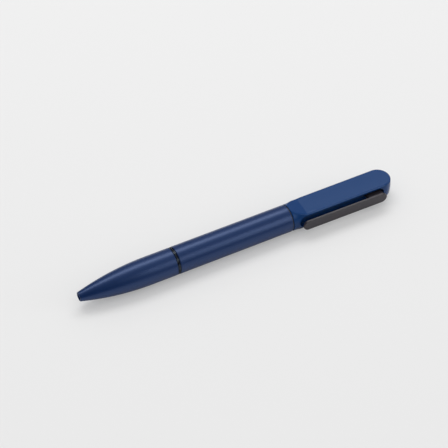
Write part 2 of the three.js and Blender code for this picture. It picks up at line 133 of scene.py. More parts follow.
class Graph:
    """A material's or world's node tree."""

    def __init__(self, tree: bpy.types.NodeTree) -> None:
        """Empties the node tree."""
        self.tree = tree
        tree.nodes.clear()

    def node(
        self,
        kind: str,
        settings: dict[str, Any] | None = None,
        inputs: dict[str | int, Any] | None = None,
        output: str | int = 0,
    ) -> Wire:
        """Adds a node of any type.

        Args:
            kind: The node's type.
            settings: Its attributes, which are set first.
            inputs: Values or wires, by the input's name or number.
            output: The name or number of the output to hand back.

        Returns:
            The chosen output.
        """
        made = self.tree.nodes.new(kind)
        for key, value in (settings or {}).items():
            setattr(made, key, value)
        for key, value in (inputs or {}).items():
            if isinstance(value, Wire):
                self.tree.links.new(value.socket, made.inputs[key])
            else:
                made.inputs[key].default_value = value
        return Wire(self, made.outputs[output] if len(made.outputs) else None)

    def maths(self, operation: str, first: Wire | float, second: Wire | float) -> Wire:
        """The result of a Math node on two values."""
        return self.node("ShaderNodeMath", {"operation": operation}, {0: first, 1: second})

    def place(self) -> Wire:
        """The point's place in the piece, in metres."""
        return self.node("ShaderNodeTexCoord", output="Object")

    def noise(self, size: float, detail: float = 2.0, stretch: Triple = (1.0, 1.0, 1.0)) -> Wire:
        """A noise with features of a real size.

        Args:
            size: The size of a feature, in metres.
            detail: The number of finer layers.
            stretch: Factors on the place along each axis; less than 1 draws features out.

        Returns:
            A value round 0.5.
        """
        place = self.node("ShaderNodeVectorMath", {"operation": "MULTIPLY"}, {0: self.place(), 1: stretch})
        inputs = {"Vector": place, "Scale": 1 / size, "Detail": detail}
        return self.node("ShaderNodeTexNoise", {}, inputs, "Fac")

    def mixed(self, amount: Wire, first: Colour, second: Colour) -> Wire:
        """A colour between two colours: an amount of 0 gives the first and 1 the second."""
        inputs = {"Factor": amount, 6: first, 7: second}
        return self.node("ShaderNodeMix", {"data_type": "RGBA"}, inputs, 2)

    def bump(self, height: Wire, depth: float) -> Wire:
        """A normal from a height, of which 1 stands for a real depth in metres."""
        return self.node("ShaderNodeBump", {}, {"Height": height, "Distance": depth, "Strength": 1.0})


@dataclass(frozen=True)
class Texture:
    """A fine noise with a coarser one mixed in."""

    detail: float
    coarse_share: float = 0.0
    coarse_size: float = 1.0
    stretch: Triple = (1.0, 1.0, 1.0)

    def height(self, graph: Graph, size: float) -> Wire:
        """The texture's height.

        Args:
            graph: The graph that its nodes go into.
            size: The size of its fine features.

        Returns:
            The height, from 0 to 1.
        """
        fine = graph.noise(size, self.detail, self.stretch)
        if not self.coarse_share:
            return fine
        coarse = graph.noise(self.coarse_size * size, 1.0, self.stretch)
        return (1 - self.coarse_share) * fine + self.coarse_share * coarse


class Grain(Enum):
    """The fine relief that a finish has."""

    BLASTED = Texture(2.0, 0.35, 2.5)
    LACQUER = Texture(1.0, 0.6, 5.0)
    TURNED = Texture(2.0, 0.3, 4.0, (1.0, 0.02, 0.02))
    DRAWN = Texture(3.0, stretch=(0.03, 1.0, 1.0))
    MOULDED = Texture(1.0)


@dataclass(frozen=True)
class Finish:
    """A surface finish, with its grain and the small changes of tone over the surface."""

    name: str
    slot: str
    base: Colour
    roughness: float
    grain: Grain
    grain_size: float
    grain_depth: float
    metallic: float = 0.0
    tone_change: float = 0.08
    tone_size: float = 6 * MM
    grain_tone: float = 0.4
    rough_change: float = 0.06
    specular: float = 0.5
    shine: Colour = (1.0, 1.0, 1.0, 1.0)

    def material(self) -> bpy.types.Material:
        """Makes the finish as a node material.

        Returns:
            The material.
        """
        made = bpy.data.materials.new(self.name)
        made.use_nodes = True
        graph = Graph(made.node_tree)
        height = self.grain.value.height(graph, self.grain_size)
        tone = graph.noise(self.tone_size, 3.0)
        amount = (1 - self.grain_tone) * tone + self.grain_tone * height
        darker = tuple(c * (1 - self.tone_change) for c in self.base[:3]) + (1.0,)
        lighter = tuple(min(c * (1 + self.tone_change), 1.0) for c in self.base[:3]) + (1.0,)
        shader = graph.node(
            "ShaderNodeBsdfPrincipled",
            {},
            {
                "Base Color": graph.mixed(amount, darker, lighter),
                "Roughness": self.roughness - self.rough_change / 2 + self.rough_change * tone,
                "Metallic": self.metallic,
                "Specular IOR Level": self.specular,
                "Specular Tint": self.shine,
                "Normal": graph.bump(height, self.grain_depth),
            },
        )
        graph.node("ShaderNodeOutputMaterial", {}, {"Surface": shader})
        return made


SATIN_BLUE = Finish(
    "satin_blue_anodised",
    "satin_blue",
    colour(1, 33, 79),
    0.35,
    Grain.BLASTED,
    0.09 * MM,
    0.0014 * MM,
    tone_change=0.10,
    specular=0.82,
    shine=(0.46, 0.61, 1.0, 1.0),
)
MATTE_BLUE = Finish(
    "matte_blue_lacquer",
    "matte_blue",
    colour(14, 51, 100),
    0.24,
    Grain.LACQUER,
    0.12 * MM,
    0.0012 * MM,
    tone_change=0.03,
    specular=0.26,
    shine=(0.6, 0.77, 1.0, 1.0),
)
SATIN_BLACK = Finish(
    "satin_black_lacquer",
    "satin_black",
    colour(39, 36, 42),
    0.36,
    Grain.LACQUER,
    0.10 * MM,
    0.002 * MM,
    specular=0.56,
    shine=(1.0, 0.95, 1.0, 1.0),
)
GLOSS_BLACK = Finish(
    "gloss_black",
    "gloss_black",
    colour(7, 12, 27),
    0.15,
    Grain.TURNED,
    0.03 * MM,
    0.0004 * MM,
    specular=0.8,
    shine=(0.75, 0.88, 1.0, 1.0),
)
BRASS = Finish(
    "turned_brass",
    "brass",
    colour(196, 158, 84),
    0.28,
    Grain.TURNED,
    0.05 * MM,
    0.0012 * MM,
    metallic=1.0,
    tone_change=0.06,
)
STEEL = Finish(
    "drawn_steel",
    "steel",
    colour(186, 187, 189),
    0.26,
    Grain.DRAWN,
    0.05 * MM,
    0.001 * MM,
    metallic=1.0,
    tone_change=0.05,
)
WHITE_PLASTIC = Finish(
    "white_plastic",
    "white_plastic",
    colour(216, 213, 205),
    0.45,
    Grain.MOULDED,
    0.2 * MM,
    0.004 * MM,
    tone_change=0.02,
)
BLACK_PLASTIC = Finish(
    "black_plastic",
    "black_plastic",
    colour(26, 26, 28),
    0.5,
    Grain.MOULDED,
    0.15 * MM,
    0.004 * MM,
)
RUBBER = Finish(
    "black_rubber",
    "rubber",
    colour(22, 22, 23),
    0.75,
    Grain.MOULDED,
    0.08 * MM,
    0.006 * MM,
)


class Wardrobe:
    """Makes each finish's material once."""

    def __init__(self) -> None:
        """Starts empty."""
        self.made: dict[str, bpy.types.Material] = {}

    def material(self, finish: Finish) -> bpy.types.Material:
        """The finish's material.

        Args:
            finish: The finish.

        Returns:
            Its material, made on first use.
        """
        if finish.name not in self.made:
            self.made[finish.name] = finish.material()
        return self.made[finish.name]

    def dress(self, finish: Finish, *nodes: str) -> None:
        """Gives carried-over nodes their finish.

        Args:
            finish: The finish.
            nodes: The nodes' names.
        """
        for node in nodes:
            for slot in frame["nodes"][node].material_slots:
                slot.material = self.material(finish)
            LOG.info("%s: dressed in %s", node, finish.name)


@dataclass(frozen=True)
class Line:
    """The pen's long axis, as the frame has it."""

    tip: float
    side: float
    height: float
    radius: float

    @classmethod
    def found(cls) -> "Line":
        """Finds the axis from the barrel and the nose.

        Returns:
            The axis, with the barrel's radius.
        """
        low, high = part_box("barrel_tube")
        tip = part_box("nose_shell")[0].x
        return cls(tip, (low.y + high.y) / 2, (low.z + high.z) / 2, (high.y - low.y) / 2)

    def at(self, along: float, out: float, up: float) -> Vector:
        """A place in the row frame.

        Args:
            along: Distance from the face of the tip.
            out: Offset from the axis towards +Y.
            up: Offset from the axis towards +Z.

        Returns:
            The place.
        """
        return Vector((self.tip + along, self.side + out, self.height + up))

    @cache
    def span(self, node: str) -> Flat:
        """Where a node starts and ends, from the face of the tip."""
        low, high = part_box(node)
        return low.x - self.tip, high.x - self.tip


@dataclass(frozen=True)
class Corner:
    """A corner of an outline, with the radius that rounds it."""

    along: float
    radius: float
    fillet: float = 0.0


def rounded(corners: Sequence[Corner], steps: int = 5) -> list[Flat]:
    """Rounds the corners of a closed outline.

    Args:
        corners: The corners, in order.
        steps: The number of steps in each rounding.

    Returns:
        The outline's points.
    """
    outline: list[Flat] = []
    for i, corner in enumerate(corners):
        here = Vector((corner.along, corner.radius))
        if corner.fillet <= 0:
            outline.append((here.x, here.y))
            continue
        before, after = corners[i - 1], corners[(i + 1) % len(corners)]
        back = (Vector((before.along, before.radius)) - here).normalized()
        on = (Vector((after.along, after.radius)) - here).normalized()
        half = back.angle(on) / 2
        centre = here + (back + on).normalized() * corner.fillet / math.sin(half)
        start = here + back * corner.fillet / math.tan(half) - centre
        end = here + on * corner.fillet / math.tan(half) - centre
        for k in range(steps + 1):
            spoke = centre + start.slerp(end, k / steps) * corner.fillet
            outline.append((spoke.x, spoke.y))
    return outline


def stadium(ends: Flat, radius: float, steps: int, stops: Sequence[float] = ()) -> list[Flat]:
    """An outline with two straight sides and two round ends, anticlockwise from the first end's top.

    Args:
        ends: The centres of the two round ends, along the pen.
        radius: Half the outline's height.
        steps: The number of steps in each round end.
        stops: More points along the straight sides, in order.

    Returns:
        Points of distance along and height.
    """
    first, last = ends
    turns = [math.pi * i / steps for i in range(steps + 1)]
    loop = [(first - radius * math.sin(turn), radius * math.cos(turn)) for turn in turns]
    loop += [(x, -radius) for x in stops]
    loop += [(last + radius * math.sin(turn), -radius * math.cos(turn)) for turn in turns]
    return loop + [(x, radius) for x in reversed(stops)]


def off_spine(along: float, height: float, ends: Flat) -> float:
    """Distance of a flat point from the line between a stadium's two centres."""
    return math.hypot(along - min(max(along, ends[0]), ends[1]), height)


def quarter(steps: int) -> list[Flat]:
    """Sines and cosines of evenly spaced angles from 0 to a right angle."""
    turns = [math.pi / 2 * k / steps for k in range(steps + 1)]
    return [(math.sin(turn), math.cos(turn)) for turn in turns]


class Skin:
    """Faces gathered edge to edge, then welded into one closed body."""

    def __init__(self, line: Line) -> None:
        """Starts with no faces, on the pen's axis."""
        self.line = line
        self.mesh = bmesh.new()

    def row(self, places: Iterable[Triple]) -> Row:
        """Adds a row of corners.

        Args:
            places: Distance along, offset towards +Y and offset towards +Z of each corner.

        Returns:
            The corners.
        """
        return [self.mesh.verts.new(self.line.at(*place)) for place in places]

    def face(self, corners: Sequence[bmesh.types.BMVert]) -> None:
        """Adds one face."""
        self.mesh.faces.new(corners)

    def strip(self, first: Row, second: Row, closed: bool = False) -> None:
        """Joins two rows by a strip of faces.

        Args:
            first: The first row.
            second: The second row, as long as the first.
            closed: Whether the rows run round and meet themselves.
        """
        for i in range(len(first) if closed else len(first) - 1):
            k = (i + 1) % len(first)
            self.face((first[i], first[k], second[k], second[i]))

    def strips(self, rows: Sequence[Row], closed: bool = False) -> None:
        """Joins each row to the next, as closed rings or as open rows."""
        for first, second in zip(rows, rows[1:]):
            self.strip(first, second, closed)

    def turn(self, outline: Sequence[Flat], around: int) -> None:
        """Turns an outline round the pen's axis.

        Args:
            outline: Points of distance along and radius. One that starts and ends on the axis stays open.
            around: The number of steps round the axis.
        """
        self.turn_by(lambda angle: outline, around)

    def turn_by(self, outline_at: Callable[[float], Sequence[Flat]], around: int) -> None:
        """Turns an outline that changes with the angle round the pen's axis.

        Args:
            outline_at: Gives the outline at an angle, always with as many points.
            around: The number of steps round the axis.
        """
        first = outline_at(0.0)
        closed = max(first[0][1], first[-1][1]) > WELD
        rows = []
        for k in range(around):
            angle = 2 * math.pi * k / around
            places = ((x, r * math.cos(angle), r * math.sin(angle)) for x, r in outline_at(angle))
            rows.append(self.row(places))
        self.strips([*rows, rows[0]], closed)

    def patch(
        self,
        loops: Sequence[Sequence[Flat]],
        inner: Sequence[Flat],
        keeps: Callable[[float, float], bool],
        lift: Callable[[float, float], Triple],
    ) -> None:
        """Fills flat loops with triangles, and lifts each corner into place.

        Args:
            loops: Closed outlines in the plane of distance along and height.
            inner: More points inside them.
            keeps: Whether a triangle with its middle at this point belongs to the surface.
            lift: Gives the place of a flat point.
        """
        flat = [Vector(p) / MM for loop in loops for p in loop]
        edges = []
        start = 0
        for loop in loops:
            count = len(loop)
            edges += [(start + i, start + (i + 1) % count) for i in range(count)]
            start += count
        flat += [Vector(p) / MM for p in inner]
        corners, _, faces, *_ = delaunay_2d_cdt(flat, edges, [], 1, 1e-6)
        made = self.row(lift(c.x * MM, c.y * MM) for c in corners)
        for face in faces:
            middle = sum((corners[i] for i in face), Vector((0, 0))) * MM / len(face)
            if keeps(middle.x, middle.y):
                self.face([made[i] for i in face])

    def body(self, name: str, material: bpy.types.Material, smooth: float = 35.0) -> bpy.types.Object:
        """Welds the faces into a named piece.

        Args:
            name: The piece's name.
            material: Its material.
            smooth: Edges that turn by more than this many degrees stay sharp.

        Returns:
            The piece.
        """
        bmesh.ops.remove_doubles(self.mesh, verts=self.mesh.verts, dist=WELD)
        bmesh.ops.dissolve_degenerate(self.mesh, edges=self.mesh.edges, dist=WELD)
        bmesh.ops.recalc_face_normals(self.mesh, faces=self.mesh.faces)
        loose = sum(not edge.is_manifold for edge in self.mesh.edges)
        made = bpy.data.meshes.new(name)
        self.mesh.to_mesh(made)
        self.mesh.free()
        made.materials.append(material)
        made.shade_smooth()
        made.set_sharp_from_angle(angle=math.radians(smooth))
        piece = bpy.data.objects.new(name, made)
        bpy.context.scene.collection.objects.link(piece)
        weighted = piece.modifiers.new("even_normals", "WEIGHTED_NORMAL")
        weighted.keep_sharp = True
        LOG.info("%s: %d faces, %d open edges", name, len(made.polygons), loose)
        return piece


@dataclass(frozen=True)
class Section:
    """A part of the pen, on its axis."""

    line: Line
    wardrobe: Wardrobe

    def settle(
        self, skin: Skin, node: str, finish: Finish, body: str, smooth: float = 35.0
    ) -> bpy.types.Object:
        """Welds a skin into the piece that stands for a node, and sets it on its body.

        Args:
            skin: The piece's faces.
            node: The node's name; the piece is named after it.
            finish: The finish.
            body: The body that it rides on.
            smooth: Edges that turn by more than this many degrees stay sharp.

        Returns:
            The piece.
        """
        piece = skin.body(f"{node}_fine", self.wardrobe.material(finish), smooth)
        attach(piece, body)
        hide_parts(node)
        return piece

    def drum(self, node: str, corners: Sequence[Corner], around: int, finish: Finish, body: str) -> None:
        """Makes the turned piece that stands for a node.

        Args:
            node: The node's name.
            corners: The outline's corners, of distance along and radius.
            around: The number of steps round the axis.
            finish: The finish.
            body: The body that it rides on.
        """
        skin = Skin(self.line)
        skin.turn(rounded(corners), around)
        self.settle(skin, node, finish, body)


@dataclass(frozen=True)
class Nose(Section):
    """The tapered front section, its threaded insert and the return spring in it."""

    taper: float = 29.2 * MM
    tip_radius: float = 1.85 * MM
    tip_fillet: float = 0.12 * MM
    tip_bore: float = 1.25 * MM
    tip_bore_length: float = 4.6 * MM
    tip_countersink: float = 0.36 * MM
    wall: float = 0.8 * MM
    edge_fillet: float = 0.28 * MM
    curve_steps: int = 72
    bore_steps: int = 18
    seat_radius: float = 4.76 * MM
    insert_bore: float = 2.9 * MM
    insert_chamfer: float = 0.3 * MM
    thread_radius: float = 3.7 * MM
    thread_depth: float = 0.34 * MM
    thread_pitch: float = 0.75 * MM
    thread_turns: int = 6
    thread_relief: float = 0.35 * MM
    thread_steps: int = 10
    thread_around: int = 96
    flank_rise: float = 1.7
    flank_slope: float = 4.2
    spring_radius: float = 1.8 * MM
    spring_wire: float = 0.2 * MM
    spring_turns: int = 14
    spring_steps: int = 36
    spring_sides: int = 10

    @property
    def thread_length(self) -> float:
        """The length of the insert's thread."""
        return self.thread_turns * self.thread_pitch

    def radius_at(self, along: float) -> float:
        """The nose's outer radius: an arc that runs into the straight barrel.

        Args:
            along: Distance from the face of the tip.

        Returns:
            The radius.
        """
        drop = self.line.radius - self.tip_radius
        arc = (self.taper**2 + drop**2) / (2 * drop)
        left = max(self.taper - along, 0.0)
        return self.line.radius - arc + math.sqrt(arc**2 - left**2)

    def shell(self) -> None:
        """Makes the shell with its bore and its flat tip."""
        end = self.line.span("nose_shell")[1]
        edge = 3 * self.tip_fillet
        outline = rounded(
            [
                Corner(self.tip_bore_length, self.tip_bore),
                Corner(self.tip_countersink, self.tip_bore),
                Corner(0.0, self.tip_bore + self.tip_countersink),
                Corner(0.0, self.radius_at(0.0), self.tip_fillet),
                Corner(edge, self.radius_at(edge)),
            ]
        )
        for i in range(1, self.curve_steps + 1):
            along = edge + (self.taper - edge) * i / self.curve_steps
            outline.append((along, self.radius_at(along)))
        rear = rounded(
            [
                Corner(self.taper, self.line.radius),
                Corner(end, self.line.radius, self.edge_fillet),
                Corner(end, self.line.radius - self.wall),
            ]
        )
        outline += rear[1:]
        for i in range(self.bore_steps, -1, -1):
            along = self.tip_bore_length + (self.taper - self.tip_bore_length) * (i / self.bore_steps)
            outline.append((along, self.radius_at(along) - self.wall))
        skin = Skin(self.line)
        skin.turn(outline, AROUND)
        self.settle(skin, "nose_shell", SATIN_BLUE, "nose")

    def thread_at(self, along: float, angle: float, start: float) -> float:
        """The radius of the threaded part of the insert.

        Args:
            along: Distance from the face of the tip.
            angle: The angle round the axis, from +Y to +Z.
            start: Where the thread starts.

        Returns:
            The radius.
        """
        phase = ((along - start) / self.thread_pitch - angle / (2 * math.pi)) % 1.0
        ridge = min(1.0, max(0.0, self.flank_rise - self.flank_slope * abs(phase - 0.5)))
        left = start + self.thread_length - along
        fade = min(1.0, (along - start) / self.thread_pitch, left / self.thread_pitch)
        return self.thread_radius - self.thread_depth * (1 - ridge * max(fade, 0.0))

    def insert_at(self, angle: float) -> list[Flat]:
        """The insert's outline, with its thread, at one angle round the axis.

        Args:
            angle: The angle, from +Y to +Z.

        Returns:
            Points of distance along and radius.
        """
        begin, end = self.line.span("nose_thread_insert")
        shoulder = self.line.span("nose_shell")[1]
        start = self.line.span("centre_ring")[1] + self.thread_relief
        steps = self.thread_turns * self.thread_steps
        root = self.thread_radius - self.thread_depth
        chamfer = self.insert_chamfer
        outline = [
            (begin, self.insert_bore),
            (begin, self.seat_radius - chamfer),
            (begin + chamfer, self.seat_radius),
            (shoulder, self.seat_radius),
            (shoulder, root),
        ]
        for i in range(steps + 1):
            along = start + self.thread_length * i / steps
            outline.append((along, self.thread_at(along, angle, start)))
        return outline + [(end - chamfer, root), (end, root - chamfer), (end, self.insert_bore)]

    def insert(self) -> None:
        """Makes the brass insert with its right-hand thread and plain pilot."""
        skin = Skin(self.line)
        skin.turn_by(self.insert_at, self.thread_around)
        self.settle(skin, "nose_thread_insert", BRASS, "nose", smooth=30.0)

    def spring(self) -> None:
        """Makes the return spring as one wire along a helix."""
        begin, end = self.line.span("return_spring")
        first, last = begin + self.spring_wire, end - self.spring_wire
        steps, sides = self.spring_turns * self.spring_steps, self.spring_sides
        slope = math.atan2(last - first, 2 * math.pi * self.spring_radius * self.spring_turns)
        skin = Skin(self.line)
        rows = []
        for i in range(steps + 1):
            places = []
            for j in range(sides):
                turn = 2 * math.pi * j / sides
                out = self.spring_radius + self.spring_wire * math.cos(turn)
                across = self.spring_wire * math.sin(turn)
                along = first + (last - first) * i / steps + across * math.cos(slope)
                angle = 2 * math.pi * self.spring_turns * i / steps
                angle -= across * math.sin(slope) / self.spring_radius
                places.append((along, out * math.cos(angle), out * math.sin(angle)))
            rows.append(skin.row(places))
        skin.strips(rows, closed=True)
        skin.face(rows[0])
        skin.face(rows[-1])
        piece = self.settle(skin, "return_spring", STEEL, "nose")
        travel = next(j for j in frame["joints"] if j["name"] == "refill_travel")["range_m"][1]
        keep = 1 - travel / (end - begin)
        self.line.at(begin, 0, 0)
        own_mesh(piece)

    def build(self) -> None:
        """Makes the nose's pieces."""
        self.shell()
        self.insert()
        self.spring()


@dataclass(frozen=True)
class Barrel(Section):
    """The straight middle section, the gloss ring in front of it and what the barrel holds."""

    wall: float = 1.0 * MM
    edge_fillet: float = 0.28 * MM
    ring_inset: float = 0.04 * MM
    ring_lip: float = 0.12 * MM
    ring_groove: float = 0.2 * MM
    ring_groove_depth: float = 0.26 * MM
    ring_fillet: float = 0.05 * MM
    ring_bore: float = 3.8 * MM
    bead_roundness: float = 0.9
    notches: int = 42
    notch_steps: int = 8
    notch_depth: float = 0.22 * MM

    def tube(self) -> None:
        """Makes the barrel's tube with its rounded ends."""
        begin, end = self.line.span("barrel_tube")
        outer, inner = self.line.radius, self.line.radius - self.wall
        corners = [
            Corner(begin, inner),
            Corner(begin, outer, self.edge_fillet),
            Corner(end, outer, self.edge_fillet),
            Corner(end, inner),
        ]
        self.drum("barrel_tube", corners, AROUND, SATIN_BLUE, "barrel")

    def ring_at(self, angle: float) -> list[Flat]:
        """The ring's outline at one angle: a notched bead between two grooves and two thin lips.

        Args:
            angle: The angle round the axis.

        Returns:
            Points of distance along and radius.
        """
        begin, end = self.line.span("centre_ring")
        outer = self.line.radius - self.ring_inset
        root = outer - self.ring_groove_depth
        crest = outer - self.notch_depth * (0.5 - 0.5 * math.cos(self.notches * angle)) ** 2
        first, last = begin + self.ring_lip, end - self.ring_lip
        bead = self.bead_roundness * ((end - begin) / 2 - self.ring_lip - self.ring_groove)
        corners = [
            Corner(begin, self.ring_bore),
            Corner(begin, outer, self.ring_fillet),
            Corner(first, outer, self.ring_fillet),
            Corner(first, root),
            Corner(first + self.ring_groove, root),
            Corner(first + self.ring_groove, crest, bead),
            Corner(last - self.ring_groove, crest, bead),
            Corner(last - self.ring_groove, root),
            Corner(last, root),
            Corner(last, outer, self.ring_fillet),
            Corner(end, outer, self.ring_fillet),
            Corner(end, self.ring_bore),
        ]
        return rounded(corners)

    def ring(self) -> None:
        """Makes the gloss ring."""
        skin = Skin(self.line)
        skin.turn_by(self.ring_at, self.notch_steps * self.notches)
        self.settle(skin, "centre_ring", GLOSS_BLACK, "ring")

    def build(self) -> None:
        """Makes the tube and the ring, and dresses what the barrel holds."""
        self.tube()
        self.ring()
        self.wardrobe.dress(BRASS, "front_thread_bush", "mechanism_bush", "mechanism_housing")
        self.wardrobe.dress(BLACK_PLASTIC, "seam_washer")
        self.wardrobe.dress(RUBBER, "friction_o_ring")


@dataclass(frozen=True)
class UpperSection(Section):
    """The section that turns: a round collar that scoops down to two flats, with the clip's pocket."""

    half_thickness: float = 3.56 * MM
    half_width: float = 5.11 * MM
    side_bulge: float = 0.24 * MM
    collar_lip: float = 0.03 * MM
    scoop_length: float = 6.3 * MM
    scoop_hollow: float = 0.15 * MM
    blend_length: float = 9.2 * MM
    edge_leg: float = 0.42 * MM
    edge_ease: float = 0.06
    edge_probe: float = 0.02 * MM
    front_chamfer: float = 0.2 * MM
    pocket_start: float = 2.75 * MM
    pocket_length: float = 38.95 * MM
    pocket_half: float = 2.57 * MM
    pocket_depth: float = 2.0 * MM
    rim_fillet: float = 0.12 * MM
    floor_fillet: float = 0.3 * MM
    counterbore: float = 4.2 * MM
    counterbore_depth: float = 1.2 * MM
    step_bore: float = 3.0 * MM
    step_depth: float = 1.0 * MM
    coupling_bore: float = 2.54 * MM
    bore_length: float = 31.0 * MM
    drill_point: float = 0.8 * MM
    station: float = 0.3 * MM
    last_stop: float = 1.0 * MM
    across: int = 16
    down: int = 14
    arc_steps: int = 5
    rear_steps: int = 48
    pocket_steps: int = 24
    grid_pitch: float = 0.45 * MM
    grid_rows: int = 12

    @property
    def start(self) -> float:
        """Where the section starts along the pen."""
        return self.line.span("upper_shell")[0]

    @property
    def length(self) -> float:
        """The section's length."""
        begin, end = self.line.span("upper_shell")
        return end - begin

    @property
    def centre(self) -> float:
        """The centre of the round rear end, from the section's start."""
        return self.length - self.half_width - self.side_bulge

    @property
    def pocket_ends(self) -> Flat:
        """The centres of the pocket's two round ends, from the section's start."""
        last = self.pocket_start + self.pocket_length - self.pocket_half
        return self.pocket_start + self.pocket_half, last

    @property
    def mouth_half(self) -> float:
        """Half the height of the pocket's mouth, with its rounded rim."""
        return self.pocket_half + self.rim_fillet

    def top_at(self, along: float) -> float:
        """Half the thickness: a slightly hollow slope from the collar to a crease on the flat.

        Args:
            along: Distance from the section's start.

        Returns:
            Half the thickness.
        """
        drop = self.line.radius - self.collar_lip - self.half_thickness
        left = max(1 - along / self.scoop_length, 0.0)
        return self.half_thickness + drop * left - 4 * self.scoop_hollow * left * (1 - left)

    def side_at(self, along: float, height: float) -> float:
        """Half the width at one height: a circle that eases into a slightly convex side.

        Args:
            along: Distance from the section's start.
            height: Offset from the axis towards +Z.

        Returns:
            Half the width.
        """
        part = min(along / self.blend_length, 1.0)
        eased = part * part * (3 - 2 * part)
        circle = math.sqrt(max(self.line.radius**2 - height**2, 0.0))
        level = min(abs(height) / self.half_thickness, 1.0)
        side = self.half_width + self.side_bulge * (1 - level**2)
        return circle + (side - circle) * eased

    def edge_at(self, along: float) -> list[Flat]:
        """The softened chamfer between the flat and the side, from the flat outwards.

        Args:
            along: Distance from the section's start.

        Returns:
            Points of half width and height.
        """
        top = self.top_at(along)
        side = self.side_at(along, top)
        lower = top - self.edge_probe
        fall = Vector((self.side_at(along, lower) - side, lower - top)).normalized()
        inward = Vector((-1.0, 0.0))
        ease = self.edge_ease
        shares = [(1 + 3 * ease, 0.0)]
        for k in range(self.arc_steps - 1):
            share = ease + (1 - 2 * ease) * k / (self.arc_steps - 2)
            shares.append((1 - share, share))
        shares.append((0.0, 1 + 3 * ease))
        points = []
        for flat, wall in shares:
            place = Vector((side, top)) + (inward * flat + fall * wall) * self.edge_leg
            points.append((place.x, place.y))
        height = points[-1][1]
        points[-1] = (self.side_at(along, height), height)
        return points

    def heights(self, along: float) -> list[float]:
        """Heights down the side wall, from its top to its bottom."""
        top = self.edge_at(along)[-1][1]
        return [top * (1 - 2 * i / self.down) for i in range(self.down + 1)]

    def stations(self) -> list[float]:
        """Distances along at which sections stand, from behind the chamfer to the straight part.

        Returns:
            The distances, from the section's start.
        """
        slope, rest = self.scoop_length - self.front_chamfer, self.blend_length - self.scoop_length
        count, more = round(slope / self.station), round(rest / self.station)
        stops = [self.front_chamfer + slope * i / count for i in range(count)]
        return stops + [self.scoop_length + rest * i / more for i in range(more + 1)]

    def section(self, along: float) -> list[Flat]:
        """All the points round the section at one distance, from the top's -Y edge, clockwise.

        Args:
            along: Distance from the section's start.

        Returns:
            Points of offset towards +Y and +Z.
        """
        edge = self.edge_at(along)
        wide = edge[0][0]
        top = [(-wide + 2 * wide * i / self.across, edge[0][1]) for i in range(self.across + 1)]
        side = [(self.side_at(along, height), height) for height in self.heights(along)]
        right = edge[1:] + side[1:-1] + [(y, -z) for y, z in reversed(edge)]
        half = top + right
        return half + [(-y, -z) for y, z in half[1:-1]]

    def wall_rows(self, skin: Skin) -> None:
        """Makes the top, the bottom, the edges and the plain +Y side, and the round rear end.

        Args:
            skin: The faces so far.
        """
        stops = self.stations()
        for sign in (1, -1):
            tops = []
            for along in stops:
                wide, height = self.edge_at(along)[0]
                places = [
                    (self.start + along, -wide + 2 * wide * i / self.across, sign * height)
                    for i in range(self.across + 1)
                ]
                tops.append(skin.row(places))
            skin.strips(tops)
            for hand in (1, -1):
                edges = [
                    skin.row((self.start + along, hand * y, sign * z) for y, z in self.edge_at(along))
                    for along in [*stops, self.centre]
                ]
                skin.strips(edges)
            self.flat(skin, sign, tops[-1])
        plain = [
            skin.row((self.start + along, self.side_at(along, z), z) for z in self.heights(along))
            for along in [*stops, self.centre]
        ]
        skin.strips(plain)
        self.rear(skin)

    def flat(self, skin: Skin, sign: int, across: Row) -> None:
        """Fills the flat from the last station to the round end.

        Args:
            skin: The faces so far.
            sign: 1 for the top and -1 for the bottom.
            across: The last row across the flat.
        """
        wide, height = self.edge_at(self.centre)[0]
        rim = skin.row(
            (self.start + self.centre + wide * math.sin(turn), wide * math.cos(turn), sign * height)
            for turn in self.rear_turns()
        )
        skin.face([*reversed(across), *reversed(rim)])

    def rear_turns(self) -> list[float]:
        """Angles round the rear end, from the +Y side to the -Y side."""
        return [math.pi * i / self.rear_steps for i in range(self.rear_steps + 1)]

    def rear(self, skin: Skin) -> None:
        """Makes the wall round the rear end, with its two rounded edges.

        Args:
            skin: The faces so far.
        """
        edge = self.edge_at(self.centre)
        side = [(self.side_at(self.centre, z), z) for z in self.heights(self.centre)]
        profile = edge[:-1] + side + [(y, -z) for y, z in reversed(edge[:-1])]
        rows = []
        for turn in self.rear_turns():
            places = [
                (self.start + self.centre + y * math.sin(turn), y * math.cos(turn), z) for y, z in profile
            ]
            rows.append(skin.row(places))
        skin.strips(rows)

    def pocket_loop(self, grow: float) -> list[Flat]:
        """The pocket's outline, grown outwards.

        Args:
            grow: How far it is grown.

        Returns:
            Points of distance along and height, anticlockwise.
        """
        first, last = self.pocket_ends
        stops = [x for x in self.stations()[::2] if x > first + self.station] + [last - self.last_stop]
        return stadium(self.pocket_ends, self.pocket_half + grow, self.pocket_steps, stops)

    def clip_side(self, skin: Skin) -> None:
        """Makes the -Y side with the pocket cut into it.

        Args:
            skin: The faces so far.
        """
        stops = [*self.stations(), self.centre]
        top = [(along, self.edge_at(along)[-1][1]) for along in stops]
        rear = [(self.centre, z) for z in self.heights(self.centre)]
        bottom = [(along, -height) for along, height in reversed(top)]
        front = [(stops[0], z) for z in reversed(self.heights(stops[0]))]
        outline = top + rear[1:] + bottom[1:] + front[1:-1]
        mouth = self.pocket_loop(self.rim_fillet)
        inner = []
        pitch = self.grid_pitch
        for i in range(1, int(self.blend_length / pitch)):
            for k in range(-self.grid_rows, self.grid_rows + 1):
                along, height = i * pitch, k * pitch
                room = self.edge_at(along)[-1][1] - abs(height)
                clear = off_spine(along, height, self.pocket_ends) - self.mouth_half
                if min(room, clear) > pitch / 2:
                    inner.append((along, height))
        skin.patch(
            [outline, mouth],
            inner,
            lambda along, height: off_spine(along, height, self.pocket_ends) >= self.mouth_half,
            lambda along, height: (self.start + along, -self.side_at(along, height), height),
        )
        self.pocket(skin)

